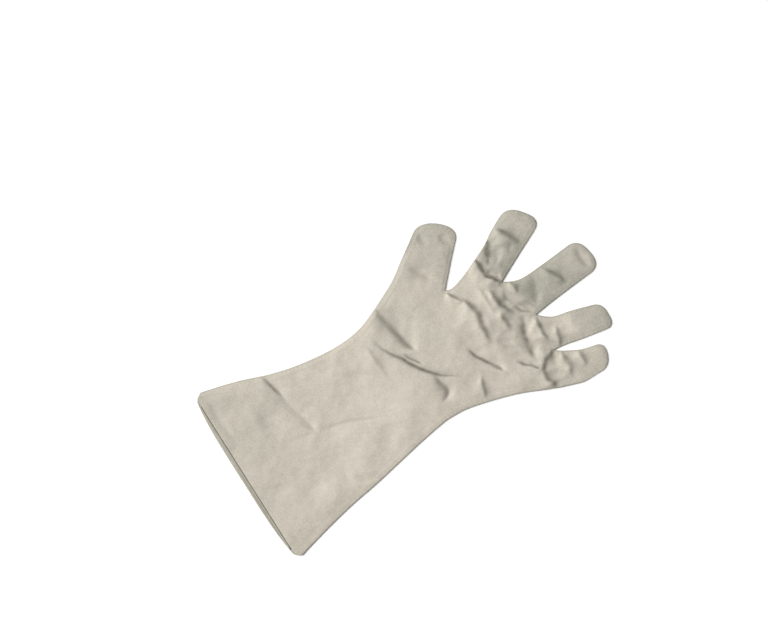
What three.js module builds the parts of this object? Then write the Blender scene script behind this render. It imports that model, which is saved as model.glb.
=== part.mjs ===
// A gauntlet glove of metallised conductive cloth, empty and lying palm down on a flat surface.
// Two layers of cloth are cut to one hand outline, with no strips between the fingers, and sewn together by
// one turned seam that runs from one side of the cuff's mouth round the thumb and fingers to the other side.
// At the mouth each layer's edge is turned in to make a hem.
// Millimetres. +X runs from the cuff to the fingertips, +Y to the thumb side and +Z up, and the origin lies
// on the surface below the middle of the glove.

import * as THREE from 'three';

// Cloth
const WALL = 1;                 // thickness of a layer
const LAYER_GAP = 0.3;          // between two layers that touch
const CLOTH_COLOUR = 0xc3bbae;
const HEM_COLOUR = 0xb9b3a5;
const CLOTH_ROUGHNESS = 0.72;
const CLOTH_METALNESS = 0.2;

// How the empty glove stands off the surface
const SEAM_LIFT = 1.2;          // the palm layer's underside at the seam
const PALM_ROLL = 9;            // from the seam inwards, where the palm layer comes down flat
const BACK_ROLL = 11;           // from the seam inwards, where the back layer stops rising steeply
const BACK_RISE = 7.5;          // the steep rise next to the seam
const STEEPEST = 2 * BACK_RISE / BACK_ROLL; // the rise's slope right at the seam
const BACK_CROWN_REACH = 45;    // from the seam inwards, where the back layer stops rising at all
const BACK_CROWN = 4;           // the gentle rise over that reach
const MOUTH_FLATNESS = 0.68;    // share of the rise that is left at the cuff's mouth
const MOUTH_X = -195;           // the back layer's edge at the mouth
const FULL_RISE_X = -62;        // from here on the rise is whole
const LOWEST_INSIDE = 11;       // away from the seam, no dent takes the back layer's upper side below this

// Cuff's mouth
const HEM_SET_BACK = 1;         // cells of cloth between a hem's end and the seam
const PALM_LIP = 5;             // how far the palm layer looks out past the back layer at mid-mouth
const LIP_SQUARENESS = 4;       // how quickly that lip reaches its full width from the mouth's corners
const CORNER_CUT = 5;           // how far the mouth's corners are rounded back along the seam

// Mesh: cells of cloth across one finger, and the share of the tables' steps that a layer uses
const BACK_NET = { cellsPerFinger: 6, fineness: 1 };
const PALM_NET = { cellsPerFinger: 4, fineness: 0.5 };
const FINGERS = ['index', 'middle', 'ring', 'little'];

// Sections of the outline. A row has the seam's place on the side nearer the thumb (thumbX, thumbY) and on
// the side nearer the little finger (littleX, littleY), and the steps of mesh from it to the next row.
const GAUNTLET = [
  { thumbX: -195, thumbY: 80.6, littleX: -193, littleY: -102.4, steps: 2 },
  { thumbX: -181, thumbY: 78.6, littleX: -179, littleY: -99.8, steps: 2 },
  { thumbX: -152, thumbY: 70.6, littleX: -152, littleY: -93.2, steps: 3 },
  { thumbX: -122, thumbY: 59.9, littleX: -122, littleY: -86.9, steps: 3 },
  { thumbX: -92, thumbY: 52.8, littleX: -92, littleY: -82.2, steps: 3 },
  { thumbX: -57, thumbY: 49, littleX: -57, littleY: -75.4, steps: 4 },
  { thumbX: -29, thumbY: 51.6, littleX: -29, littleY: -70.1, steps: 4 },
  { thumbX: -4, thumbY: 61, littleX: -4, littleY: -66.4, steps: 0 },
];
const PALM = [
  { thumbX: -4, thumbY: 61, littleX: -4, littleY: -66.4, steps: 5 },
  { thumbX: 18, thumbY: 53.8, littleX: 16, littleY: -67.2, steps: 5 },
  { thumbX: 40, thumbY: 46.6, littleX: 36, littleY: -71.6, steps: 4 },
  { thumbX: 61.5, thumbY: 39.6, littleX: 55, littleY: -76.9, steps: 0 },
];
const KNUCKLES = [
  { thumbX: 61.5, thumbY: 39.6, littleX: 55, littleY: -76.9, steps: 3 },
  { thumbX: 68, thumbY: 37.8, littleX: 71, littleY: -82.4, steps: 4 },
  { thumbX: 83, thumbY: 41.9, littleX: 88, littleY: -90, steps: 4 },
  { thumbX: 98, thumbY: 48.2, littleX: 105, littleY: -97.4, steps: 0 },
];
// Where neighbouring fingers part, from the index finger's side of the hand to the little finger's
const FINGER_ROOTS = [
  { x: 98, y: 48.2 },
  { x: 112, y: 17.4 },
  { x: 123, y: -26.6 },
  { x: 119, y: -64 },
  { x: 105, y: -97.4 },
];
// Each finger's sections from its root to where its tip starts to round off, and how far the tip reaches
// past the last section and how square it is (2 is an ellipse)
const DIGITS = {
  thumb: {
    tipReach: 14.5, squareness: 2.3,
    sections: [
      { thumbX: -4, thumbY: 61, littleX: 61.5, littleY: 39.6, steps: 3 },
      { thumbX: 22, thumbY: 73.6, littleX: 68, littleY: 46.6, steps: 3 },
      { thumbX: 41, thumbY: 86.6, littleX: 81, littleY: 60.6, steps: 5 },
      { thumbX: 63, thumbY: 101.6, littleX: 94.5, littleY: 74.6, steps: 0 },
    ],
  },
  index: {
    tipReach: 15, squareness: 2.8,
    sections: [
      { thumbX: 98, thumbY: 48.2, littleX: 112, littleY: 17.4, steps: 3 },
      { thumbX: 115, thumbY: 56, littleX: 129, littleY: 26, steps: 3 },
      { thumbX: 129, thumbY: 64.6, littleX: 146, littleY: 34.3, steps: 5 },
      { thumbX: 141, thumbY: 70.8, littleX: 163, littleY: 42.4, steps: 0 },
    ],
  },
  middle: {
    tipReach: 14.5, squareness: 2.7,
    sections: [
      { thumbX: 112, thumbY: 17.4, littleX: 123, littleY: -26.6, steps: 3 },
      { thumbX: 128, thumbY: 10.8, littleX: 141, littleY: -24.2, steps: 3 },
      { thumbX: 154, thumbY: 11.4, littleX: 164, littleY: -22, steps: 5 },
      { thumbX: 182, thumbY: 13.6, littleX: 187, littleY: -20.2, steps: 0 },
    ],
  },
  ring: {
    tipReach: 12, squareness: 2.8,
    sections: [
      { thumbX: 123, thumbY: -26.6, littleX: 119, littleY: -64, steps: 3 },
      { thumbX: 135, thumbY: -36, littleX: 132, littleY: -65.6, steps: 3 },
      { thumbX: 153, thumbY: -40.6, littleX: 150, littleY: -69.6, steps: 5 },
      { thumbX: 171, thumbY: -46.2, littleX: 170, littleY: -73.2, steps: 0 },
    ],
  },
  little: {
    tipReach: 11.5, squareness: 2.4,
    sections: [
      { thumbX: 119, thumbY: -64, littleX: 105, littleY: -97.4, steps: 2 },
      { thumbX: 128, thumbY: -70, littleX: 117, littleY: -101.6, steps: 3 },
      { thumbX: 141, thumbY: -76.8, littleX: 129, littleY: -105, steps: 4 },
      { thumbX: 154, thumbY: -80.6, littleX: 145, littleY: -105, steps: 0 },
    ],
  },
};

// Main folds of the back layer, each a straight groove from one end to the other. A groove is as deep as
// depth at its middle, fades out over width on either side, and is a ridge where depth is negative.
const FOLDS = [
  { at: 'cuff, thumb side', x1: -131, y1: 61.6, x2: -125, y2: 29.6, depth: 3.5, width: 6 },
  { at: 'cuff, along', x1: -122, y1: -4.4, x2: -64, y2: -26.4, depth: -1.4, width: 8 },
  { at: 'below the thumb', x1: -8, y1: 53.6, x2: 2, y2: 13.6, depth: 4.5, width: 8 },
  { at: 'wrist, upper', x1: -22, y1: 35.6, x2: 0, y2: -4.4, depth: 2.6, width: 5 },
  { at: 'wrist, lower', x1: 0, y1: -4.4, x2: 36, y2: -40.4, depth: 2.6, width: 5 },
  { at: 'wrist, little side', x1: 10, y1: -26.4, x2: 7, y2: -48.4, depth: 2, width: 6 },
  { at: 'heel of the hand', x1: 48, y1: -50.4, x2: 39, y2: -64.4, depth: 2, width: 5 },
  { at: 'mid palm', x1: 50, y1: -20.4, x2: 68, y2: -54.4, depth: 3, width: 4.5 },
  { at: 'thumb crotch', x1: 64, y1: 33.6, x2: 75, y2: 13.6, depth: 2.5, width: 5 },
  { at: 'below the index finger', x1: 76, y1: 13.6, x2: 71, y2: -24.4, depth: 3.6, width: 6 },
  { at: 'index knuckle', x1: 99, y1: 47.6, x2: 109, y2: 19.6, depth: 4, width: 5 },
  { at: 'middle knuckle', x1: 96, y1: 15.6, x2: 99, y2: -4.4, depth: 3.2, width: 5 },
  { at: 'below the middle finger', x1: 95, y1: -8.4, x2: 93, y2: -24.4, depth: 3, width: 5 },
  { at: 'below the ring finger', x1: 108, y1: -22.4, x2: 96, y2: -56.4, depth: 3.6, width: 5 },
  { at: 'ring knuckle', x1: 120, y1: -30.4, x2: 122, y2: -50.4, depth: 3.2, width: 5 },
  { at: 'little knuckle', x1: 112, y1: -66.4, x2: 99, y2: -90.4, depth: 4, width: 5 },
  { at: 'index joint', x1: 134, y1: 65.6, x2: 146, y2: 43.6, depth: 2.4, width: 5 },
  { at: 'middle joint', x1: 150, y1: 5.6, x2: 162, y2: -10.4, depth: 2.4, width: 5 },
  { at: 'little joint', x1: 126, y1: -72.4, x2: 122, y2: -92.4, depth: 2, width: 4.5 },
  { at: 'little tip', x1: 141, y1: -78.4, x2: 137, y2: -92.4, depth: 1.6, width: 4.5 },
  { at: 'thumb joint', x1: 40, y1: 79.6, x2: 48, y2: 55.6, depth: 1.8, width: 7 },
];

// A value between a and b at share t
const between = (a, b, t) => a + (b - a) * t;

// The seam's two curves through a table of sections, one on the side nearer the thumb and one on the other
function seamCurves(sections) {
  return {
    thumb: new THREE.SplineCurve(sections.map((row) => new THREE.Vector2(row.thumbX, row.thumbY))),
    little: new THREE.SplineCurve(sections.map((row) => new THREE.Vector2(row.littleX, row.littleY))),
  };
}

// The places along a table of sections where a row of mesh runs, from 0 at the first section to 1 at the last
function rowPlaces(sections, fineness) {
  const spans = sections.length - 1;
  const places = [0];
  for (let span = 0; span < spans; span += 1) {
    const steps = Math.max(1, Math.round(sections[span].steps * fineness));
    for (let step = 1; step <= steps; step += 1) places.push((span + step / steps) / spans);
  }
  return places;
}

// A patch of cloth: rows of points that run from the thumb side's seam to the little side's. The function
// shape moves a point of the row at place t and share u across it.
function patch(sections, cellsAcross, fineness, shape = (point) => point) {
  const curves = seamCurves(sections);
  return rowPlaces(sections, fineness).map((t) => {
    const from = curves.thumb.getPoint(t);
    const to = curves.little.getPoint(t);
    const row = [];
    for (let cell = 0; cell <= cellsAcross; cell += 1) {
      row.push(shape(from.clone().lerp(to, cell / cellsAcross), t, cell / cellsAcross));
    }
    return row;
  });
}

// The gauntlet, whose first row is the mouth: its corners are rounded back, and the palm layer's lip bows out
function gauntletPatch(net, lip) {
  const cells = net.cellsPerFinger * FINGERS.length;
  const rows = patch(GAUNTLET, cells, net.fineness);
  rows[0].forEach((point, cell) => {
    const across = 2 * cell / cells - 1;
    point.x -= lip * (1 - across ** LIP_SQUARENESS);
    if (Math.abs(across) === 1) point.x += CORNER_CUT;
  });
  return rows;
}

// The knuckles' patch, whose rows bend until the last one runs from root to root of the fingers
function knucklePatch(net) {
  const last = KNUCKLES[KNUCKLES.length - 1];
  const start = new THREE.Vector2(last.thumbX, last.thumbY);
  const end = new THREE.Vector2(last.littleX, last.littleY);
  const roots = FINGER_ROOTS.map((root) => new THREE.Vector2(root.x, root.y));
  const bend = (point, t, u) => {
    const finger = Math.min(Math.floor(u * FINGERS.length), FINGERS.length - 1);
    const onRoots = roots[finger].clone().lerp(roots[finger + 1], u * FINGERS.length - finger);
    const onLine = start.clone().lerp(end, u);
    return point.add(onRoots.sub(onLine).multiplyScalar(t));
  };
  return patch(KNUCKLES, net.cellsPerFinger * FINGERS.length, net.fineness, bend);
}

// A finger or thumb. It starts from its root, a row of points that the hand already has, and its rows bow
// out until the last one is its rounded tip: across the tip the reach follows (1 - |v|^n)^(1/n), where v runs
// from -1 to 1 and n is the squareness
function digitPatch(digit, root, fineness) {
  const last = digit.sections[digit.sections.length - 1];
  const from = new THREE.Vector2(last.thumbX, last.thumbY);
  const to = new THREE.Vector2(last.littleX, last.littleY);
  const curves = seamCurves(digit.sections);
  const outwards = curves.thumb.getTangent(1).add(curves.little.getTangent(1)).normalize();
  const cellsAcross = root.length - 1;
  const bow = (point, t, u) => {
    const onRoot = root[Math.round(u * cellsAcross)].clone();
    const offRoot = onRoot.sub(root[0].clone().lerp(root[cellsAcross], u));
    const even = 2 * u - 1;
    const crowded = -Math.cos(Math.PI * u);
    const reach = digit.tipReach * (1 - Math.abs(crowded) ** digit.squareness) ** (1 / digit.squareness);
    const share = t * t;
    const slide = to.clone().sub(from).multiplyScalar((crowded - even) / 2 * share);
    return point.addScaledVector(offRoot, 1 - t).add(slide).addScaledVector(outwards, reach * share);
  };
  return patch(digit.sections, cellsAcross, fineness, bow);
}

// One layer's net: all its patches joined at the points they share. It holds the points, the triangles and
// the edges that only one triangle has, which are the layer's outline.
function joinPatches(patches) {
  const points = [];
  const triangles = [];
  const known = new Map();
  const indexOf = (point) => {
    const key = `${point.x.toFixed(2)},${point.y.toFixed(2)}`;
    if (!known.has(key)) {
      known.set(key, points.length);
      points.push(point);
    }
    return known.get(key);
  };
  const area = (a, b, c) => {
    const [p, q, r] = [points[a], points[b], points[c]];
    return ((q.x - p.x) * (r.y - p.y) - (r.x - p.x) * (q.y - p.y)) / 2;
  };
  const addTriangle = (a, b, c) => triangles.push(area(a, b, c) > 0 ? [a, b, c] : [a, c, b]);
  for (const rows of patches) {
    for (let i = 1; i < rows.length; i += 1) {
      for (let j = 1; j < rows[i].length; j += 1) {
        const [a, b] = [indexOf(rows[i - 1][j - 1]), indexOf(rows[i - 1][j])];
        const [c, d] = [indexOf(rows[i][j]), indexOf(rows[i][j - 1])];
        const thinnestWithAC = Math.min(Math.abs(area(a, b, c)), Math.abs(area(a, c, d)));
        const thinnestWithBD = Math.min(Math.abs(area(a, b, d)), Math.abs(area(b, c, d)));
        if (thinnestWithAC >= thinnestWithBD) {
          addTriangle(a, b, c);
          addTriangle(a, c, d);
        } else {
          addTriangle(a, b, d);
          addTriangle(b, c, d);
        }
      }
    }
  }
  const edges = new Map();
  for (const corners of triangles) {
    corners.forEach((from, k) => {
      const to = corners[(k + 1) % 3];
      if (!edges.delete(`${to},${from}`)) edges.set(`${from},${to}`, [from, to]);
    });
  }
  return { points, triangles, rim: [...edges.values()] };
}

// A closed wall of cloth over a net, between the heights that top and bottom give at a point
function wall(net, top, bottom) {
  const count = net.points.length;
  const positions = [];
  for (const height of [top, bottom]) {
    for (const point of net.points) positions.push(point.x, point.y, height(point));
  }
  const index = [];
  for (const [a, b, c] of net.triangles) index.push(a, b, c, count + a, count + c, count + b);
  for (const [a, b] of net.rim) index.push(a, count + a, b, b, count + a, count + b);
  const geometry = new THREE.BufferGeometry();
  geometry.setAttribute('position', new THREE.Float32BufferAttribute(positions, 3));
  geometry.setIndex(index);
  geometry.computeVertexNormals();
  return geometry;
}

// The distance from a point to a straight stretch, and how far along the stretch, from 0 to 1, is nearest
function toStretch(x, y, x1, y1, x2, y2) {
  const [dx, dy] = [x2 - x1, y2 - y1];
  const along = THREE.MathUtils.clamp(((x - x1) * dx + (y - y1) * dy) / (dx * dx + dy * dy), 0, 1);
  return { distance: Math.hypot(x - x1 - along * dx, y - y1 - along * dy), along };
}

// The distance from a point to the nearest seam. The mouth isn't a seam.
function seamDistance(x, y, seam) {
  let nearest = Infinity;
  for (const [from, to] of seam) {
    nearest = Math.min(nearest, toStretch(x, y, from.x, from.y, to.x, to.y).distance);
  }
  return nearest;
}

// A rise that is steep at the seam and level once reach is passed, from 0 to 1
function swell(distance, reach) {
  const t = Math.min(distance / reach, 1);
  return t * (2 - t);
}

// How deep all the folds together make the back layer at a point
function foldDepth(x, y) {
  let depth = 0;
  for (const fold of FOLDS) {
    const { distance } = toStretch(x, y, fold.x1, fold.y1, fold.x2, fold.y2);
    depth += fold.depth * Math.exp(-((distance / fold.width) ** 2));
  }
  return depth;
}

// The height of the back layer's upper side
function backTop(x, y, seam) {
  const distance = seamDistance(x, y, seam);
  const edge = SEAM_LIFT + WALL + LAYER_GAP + WALL * Math.hypot(1, STEEPEST);
  const whole = THREE.MathUtils.smoothstep(x, MOUTH_X, FULL_RISE_X);
  const share = between(MOUTH_FLATNESS, 1, whole);
  const rise = BACK_RISE * swell(distance, BACK_ROLL) + BACK_CROWN * swell(distance, BACK_CROWN_REACH);
  const near = swell(distance, BACK_ROLL);
  const dented = edge + share * rise - near * foldDepth(x, y);
  return Math.max(dented, between(edge, LOWEST_INSIDE, near));
}

// The height of the back layer's underside: the upper side less the wall, measured square to the cloth, whose
// lean is read over a short step to either side
function backBottom(x, y, seam) {
  const step = WALL / 2;
  const slopeX = (backTop(x + step, y, seam) - backTop(x - step, y, seam)) / (2 * step);
  const slopeY = (backTop(x, y + step, seam) - backTop(x, y - step, seam)) / (2 * step);
  const onSeam = seamDistance(x, y, seam) < step;
  const lean = onSeam ? STEEPEST : Math.min(Math.hypot(slopeX, slopeY), STEEPEST);
  return backTop(x, y, seam) - WALL * Math.hypot(1, lean);
}

// The height of the palm layer's underside, flat on the surface apart from its edges
function palmBottom(x, y, seam) {
  return SEAM_LIFT * (1 - swell(seamDistance(x, y, seam), PALM_ROLL));
}

// All of a layer's patches, and the seam that runs round them
function layer(net, lip) {
  const gauntlet = gauntletPatch(net, lip);
  const palm = patch(PALM, net.cellsPerFinger * FINGERS.length, net.fineness);
  const knuckles = knucklePatch(net);
  const patches = [gauntlet, palm, knuckles];
  patches.push(digitPatch(DIGITS.thumb, palm.map((row) => row[0]), net.fineness));
  FINGERS.forEach((finger, place) => {
    const first = place * net.cellsPerFinger;
    const root = knuckles[knuckles.length - 1].slice(first, first + net.cellsPerFinger + 1);
    patches.push(digitPatch(DIGITS[finger], root, net.fineness));
  });
  const cloth = joinPatches(patches);
  const mouth = new Set(gauntlet[0]);
  const onMouth = ([from, to]) => mouth.has(cloth.points[from]) && mouth.has(cloth.points[to]);
  const seam = cloth.rim.filter((edge) => !onMouth(edge)).map((edge) => edge.map((end) => cloth.points[end]));
  return { cloth, seam, gauntlet };
}

// The band of cells that a hem covers: the gauntlet's rows up to the hem line, short of the seam at both ends
function hemNet(gauntlet, net) {
  const rows = Math.max(1, Math.round(GAUNTLET[0].steps * net.fineness));
  const band = gauntlet.slice(0, rows + 1).map((row) => row.slice(HEM_SET_BACK, row.length - HEM_SET_BACK));
  return joinPatches([band]);
}

function clothMesh(name, geometry, colour) {
  const material = new THREE.MeshStandardMaterial({
    color: colour, roughness: CLOTH_ROUGHNESS, metalness: CLOTH_METALNESS,
  });
  const mesh = new THREE.Mesh(geometry, material);
  mesh.name = name;
  return mesh;
}

const back = layer(BACK_NET, 0);
const palm = layer(PALM_NET, PALM_LIP);
const backUnder = (point) => backBottom(point.x, point.y, back.seam);
const palmUnder = (point) => palmBottom(point.x, point.y, palm.seam);

const glove = new THREE.Group();
glove.add(clothMesh(
  'back_panel',
  wall(back.cloth, (point) => backTop(point.x, point.y, back.seam), backUnder),
  CLOTH_COLOUR,
));
glove.add(clothMesh(
  'palm_panel',
  wall(palm.cloth, (point) => palmUnder(point) + WALL, palmUnder),
  CLOTH_COLOUR,
));
glove.add(clothMesh(
  'back_hem',
  wall(
    hemNet(back.gauntlet, BACK_NET),
    (point) => backUnder(point) - LAYER_GAP,
    (point) => backUnder(point) - LAYER_GAP - WALL,
  ),
  HEM_COLOUR,
));
glove.add(clothMesh(
  'palm_hem',
  wall(
    hemNet(palm.gauntlet, PALM_NET),
    (point) => palmUnder(point) + WALL + LAYER_GAP + WALL,
    (point) => palmUnder(point) + WALL + LAYER_GAP,
  ),
  HEM_COLOUR,
));

// The glove is moved so that the origin is below the middle of its outer box
const box = new THREE.Box3().setFromObject(glove);
glove.position.set(-(box.min.x + box.max.x) / 2, -(box.min.y + box.max.y) / 2, -box.min.z);

export default glove;
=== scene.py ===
import math

import bpy
import numpy as np
from mathutils import Matrix, Vector


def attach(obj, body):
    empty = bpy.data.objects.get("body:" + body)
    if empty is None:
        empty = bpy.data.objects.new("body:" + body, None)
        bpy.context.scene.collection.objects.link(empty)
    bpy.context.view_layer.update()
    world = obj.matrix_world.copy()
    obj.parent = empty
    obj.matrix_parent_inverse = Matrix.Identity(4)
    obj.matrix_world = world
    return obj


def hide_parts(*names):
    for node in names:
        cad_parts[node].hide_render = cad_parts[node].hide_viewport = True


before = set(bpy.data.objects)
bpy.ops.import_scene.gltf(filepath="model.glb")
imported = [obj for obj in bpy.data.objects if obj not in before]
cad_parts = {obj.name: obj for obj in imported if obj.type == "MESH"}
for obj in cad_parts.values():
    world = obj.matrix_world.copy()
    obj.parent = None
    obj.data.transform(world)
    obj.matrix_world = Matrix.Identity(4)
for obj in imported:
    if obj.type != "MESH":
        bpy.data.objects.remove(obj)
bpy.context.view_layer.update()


# The back of the glove
# One sheet of thin metallised conductive cloth, cut with the thumb and all four fingers in one outline and
# sewn to the palm's sheet round its edge. It lies empty over the palm's sheet, slack and creased from wear.
MM = 0.001             # the glove's lengths are in millimetres, and its meshes in metres
CLOTH = 0.3            # thickness of the cloth
LAYER_GAP = 0.1        # between the two sheets at the seam
SEAM_LIFT = 0.08       # the palm sheet's underside at the seam
BACK_CELL = 1.25       # spacing of the mesh along the sheet
BACK_CELLS_PER_FINGER = 32
MOUTH_DEPTH = 14       # how far in from the cuff's mouth its hem reaches
CORNER_CUT = 6         # how far the mouth's corners are rounded back along the seam
CORNER_SHARE = 0.07    # share of the mouth's half width that a rounded corner takes

# Sections of the outline: the seam's x, y on the thumb's side, then on the little finger's side
GAUNTLET = np.array([
    (-195, 80.6, -193, -102.4),
    (-181, 78.6, -179, -99.8),
    (-152, 70.6, -152, -93.2),
    (-122, 59.9, -122, -86.9),
    (-92, 52.8, -92, -82.2),
    (-57, 49, -57, -75.4),
    (-29, 51.6, -29, -70.1),
    (-4, 61, -4, -66.4),
])
PALM = np.array([
    (-4, 61, -4, -66.4),
    (18, 53.8, 16, -67.2),
    (40, 46.6, 36, -71.6),
    (61.5, 39.6, 55, -76.9),
])
KNUCKLES = np.array([
    (61.5, 39.6, 55, -76.9),
    (68, 37.8, 71, -82.4),
    (83, 41.9, 88, -90),
    (98, 48.2, 105, -97.4),
])
# Where neighbouring fingers part, from the index finger's side to the little finger's: x, y
FINGER_ROOTS = np.array([(98, 48.2), (112, 17.4), (123, -26.6), (119, -64), (105, -97.4)])
# Each digit's tip reach past its last section, squareness of its tip, and sections from its root
DIGITS = {
    "thumb": (14.5, 2.3, np.array([
        (-4, 61, 61.5, 39.6),
        (22, 73.6, 68, 46.6),
        (41, 86.6, 81, 60.6),
        (63, 101.6, 94.5, 74.6),
    ])),
    "index": (15, 2.8, np.array([
        (98, 48.2, 112, 17.4),
        (115, 56, 129, 26),
        (129, 64.6, 146, 34.3),
        (141, 70.8, 163, 42.4),
    ])),
    "middle": (14.5, 2.7, np.array([
        (112, 17.4, 123, -26.6),
        (128, 10.8, 141, -24.2),
        (154, 11.4, 164, -22),
        (182, 13.6, 187, -20.2),
    ])),
    "ring": (12, 2.8, np.array([
        (123, -26.6, 119, -64),
        (135, -36, 132, -65.6),
        (153, -40.6, 150, -69.6),
        (171, -46.2, 170, -73.2),
    ])),
    "little": (11.5, 2.4, np.array([
        (119, -64, 105, -97.4),
        (128, -70, 117, -101.6),
        (141, -76.8, 129, -105),
        (154, -80.6, 145, -105),
    ])),
}


def spline(points, places):
    """A smooth curve through points, at places from 0 at the first to 1 at the last. Between two points it
    is the cubic whose slope at each is half the step from the point before to the point after."""
    last = len(points) - 1
    at = places * last
    i = np.minimum(at.astype(int), last - 1)
    w = (at - i)[:, None]
    start, end = points[i], points[i + 1]
    before, after = points[np.maximum(i - 1, 0)], points[np.minimum(i + 2, last)]
    s0, s1 = (end - before) / 2, (after - start) / 2
    cubic = (2 * start - 2 * end + s0 + s1) * w**3
    square = (3 * end - 3 * start - 2 * s0 - s1) * w**2
    return cubic + square + s0 * w + start


def row_places(sections, cell):
    """Places of the mesh's rows from 0 to 1: each span between two sections is cut into equal steps of about
    one cell, measured between the middles of its ends."""
    middles = (sections[:, :2] + sections[:, 2:]) / 2
    steps = np.maximum(1, np.rint(np.linalg.norm(np.diff(middles, axis=0), axis=1) / cell)).astype(int)
    spans = [i + np.arange(n) / n for i, n in enumerate(steps)]
    return np.append(np.concatenate(spans), len(steps)) / len(steps)


def patch(sections, cells, cell):
    """A grid of points: rows run straight across from one seam curve to the other. It gives the grid, each
    row's place t and each column's share u across."""
    t = row_places(sections, cell)
    u = np.linspace(0, 1, cells + 1)
    thumb_side, little_side = spline(sections[:, :2], t), spline(sections[:, 2:], t)
    grid = thumb_side[:, None] * (1 - u)[None, :, None] + little_side[:, None] * u[None, :, None]
    return grid, t, u


def gauntlet_patch(cells, cell, lip):
    """The gauntlet's grid. Over the first span the mouth bows out by lip times 1 - v^4, and its corners are
    rounded back by the square of how far v is into the corner, where v runs from -1 to 1 across."""
    grid, t, u = patch(GAUNTLET, cells, cell)
    v = np.abs(2 * u - 1)
    corner = np.clip((v - 1 + CORNER_SHARE) / CORNER_SHARE, 0, 1) ** 2
    fade = np.clip(1 - t * (len(GAUNTLET) - 1), 0, 1)
    grid[..., 0] += fade[:, None] * (CORNER_CUT * corner - lip * (1 - v**4))[None]
    return grid


def knuckle_patch(cells_per_finger, cell):
    """The knuckles' grid, whose rows bend by t until the last runs from root to root of the fingers."""
    grid, t, u = patch(KNUCKLES, cells_per_finger * 4, cell)
    finger = np.minimum((u * 4).astype(int), 3)
    share = (u * 4 - finger)[:, None]
    on_roots = FINGER_ROOTS[finger] * (1 - share) + FINGER_ROOTS[finger + 1] * share
    on_line = FINGER_ROOTS[0] * (1 - u)[:, None] + FINGER_ROOTS[-1] * u[:, None]
    return grid + t[:, None, None] * (on_roots - on_line)[None]


def digit_patch(name, root, cell):
    """A finger's grid from its root row. Its rows bow out by t^2 until the last is the tip, whose reach is
    (1 - |v|^n)^(1/n) across v from -1 to 1, with the points crowded towards the tip's sides by a cosine."""
    reach, squareness, sections = DIGITS[name]
    grid, t, u = patch(sections, len(root) - 1, cell)
    steps = [sections[-1, k:k + 2] - sections[-2, k:k + 2] for k in (0, 2)]
    outwards = sum(step / np.linalg.norm(step) for step in steps)
    outwards /= np.linalg.norm(outwards)
    off_root = root - (root[0] * (1 - u)[:, None] + root[-1] * u[:, None])
    crowded = -np.cos(np.pi * u)
    bow = reach * np.clip(1 - np.abs(crowded) ** squareness, 0, 1) ** (1 / squareness)
    across = sections[-1, 2:] - sections[-1, :2]
    slide = ((crowded - (2 * u - 1)) / 2)[:, None] * across
    share = (t * t)[:, None, None]
    return grid + (1 - t)[:, None, None] * off_root + share * (slide + bow[:, None] * outwards)


def hand_grids(cells_per_finger, cell, lip):
    """All the grids of one sheet, and the seam's path from the mouth round the digits and back."""
    cells = cells_per_finger * 4
    gauntlet = gauntlet_patch(cells, cell, lip)
    palm = patch(PALM, cells, cell)[0]
    knuckles = knuckle_patch(cells_per_finger, cell)
    grids = [gauntlet, palm, knuckles, digit_patch("thumb", palm[:, 0], cell)]
    for k, name in enumerate(("index", "middle", "ring", "little")):
        root = knuckles[-1, k * cells_per_finger:(k + 1) * cells_per_finger + 1]
        grids.append(digit_patch(name, root, cell))
    path = [gauntlet[:, 0]]
    for digit in grids[3:]:
        path += [digit[:, 0], digit[-1], digit[::-1, -1]]
        if digit is grids[3]:
            path.append(knuckles[:, 0])
    path += [knuckles[::-1, -1], palm[::-1, -1], gauntlet[::-1, -1]]
    path = np.concatenate(path)
    keep = np.append(True, np.linalg.norm(np.diff(path, axis=0), axis=1) > 0.01)
    return grids, path[keep]


KEYS_PER_MM = 97       # how finely places are told apart
KEY_SHIFT = 0.3        # keeps round sizes away from the limit between two keys


def keyed(places):
    """Whole-number keys of places, the same for two that differ by much less than 0.01 mm."""
    return np.rint(places * KEYS_PER_MM + KEY_SHIFT).astype(np.int64)


def joined(grids):
    """One net from several grids: points at the same place become one, and each cell is one face."""
    places, faces, first = [], [], 0
    for grid in grids:
        rows, columns = grid.shape[:2]
        number = first + np.arange(rows * columns).reshape(rows, columns)
        corners = (number[:-1, :-1], number[:-1, 1:], number[1:, 1:], number[1:, :-1])
        faces.append(np.stack([corner.ravel() for corner in corners], axis=1))
        places.append(grid.reshape(-1, 2))
        first += rows * columns
    places, faces = np.concatenate(places), np.concatenate(faces)
    _, kept, same = np.unique(keyed(places), axis=0, return_index=True, return_inverse=True)
    return places[kept], same.reshape(-1)[faces]


LIT_SIDE = (-0.64, 0.77)  # the way towards the key light, in plan; the seam's groove gets the most painted shade where it faces this way


def seam_distance(places, path):
    """Each place's distance to the seam's path, how far along the path its nearest point lies, and how much
    the seam there faces the key light, from -1 to 1: the product of its outward way and the way towards the
    key light, in plan."""
    distance = np.full(len(places), np.inf)
    along, facing = np.zeros(len(places)), np.zeros(len(places))
    lengths = np.linalg.norm(np.diff(path, axis=0), axis=1)
    starts = np.append(0, np.cumsum(lengths))
    for a, b, length, start in zip(path, path[1:], lengths, starts):
        way = (b - a) / length
        step = np.clip((places - a) @ way, 0, length)
        d = np.linalg.norm(places - a - step[:, None] * way, axis=1)
        nearer = d < distance
        distance[nearer], along[nearer] = d[nearer], start + step[nearer]
        facing[nearer] = -way[1] * LIT_SIDE[0] + way[0] * LIT_SIDE[1]
    return distance, along, facing


def swell(distance, reach):
    """A rise from 0 that is steep at first and level once reach is passed: t (2 - t), with t up to 1."""
    t = np.clip(distance / reach, 0, 1)
    return t * (2 - t)


def smooth(t):
    """3 t^2 - 2 t^3 between 0 and 1."""
    t = np.clip(t, 0, 1)
    return t * t * (3 - 2 * t)
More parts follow.
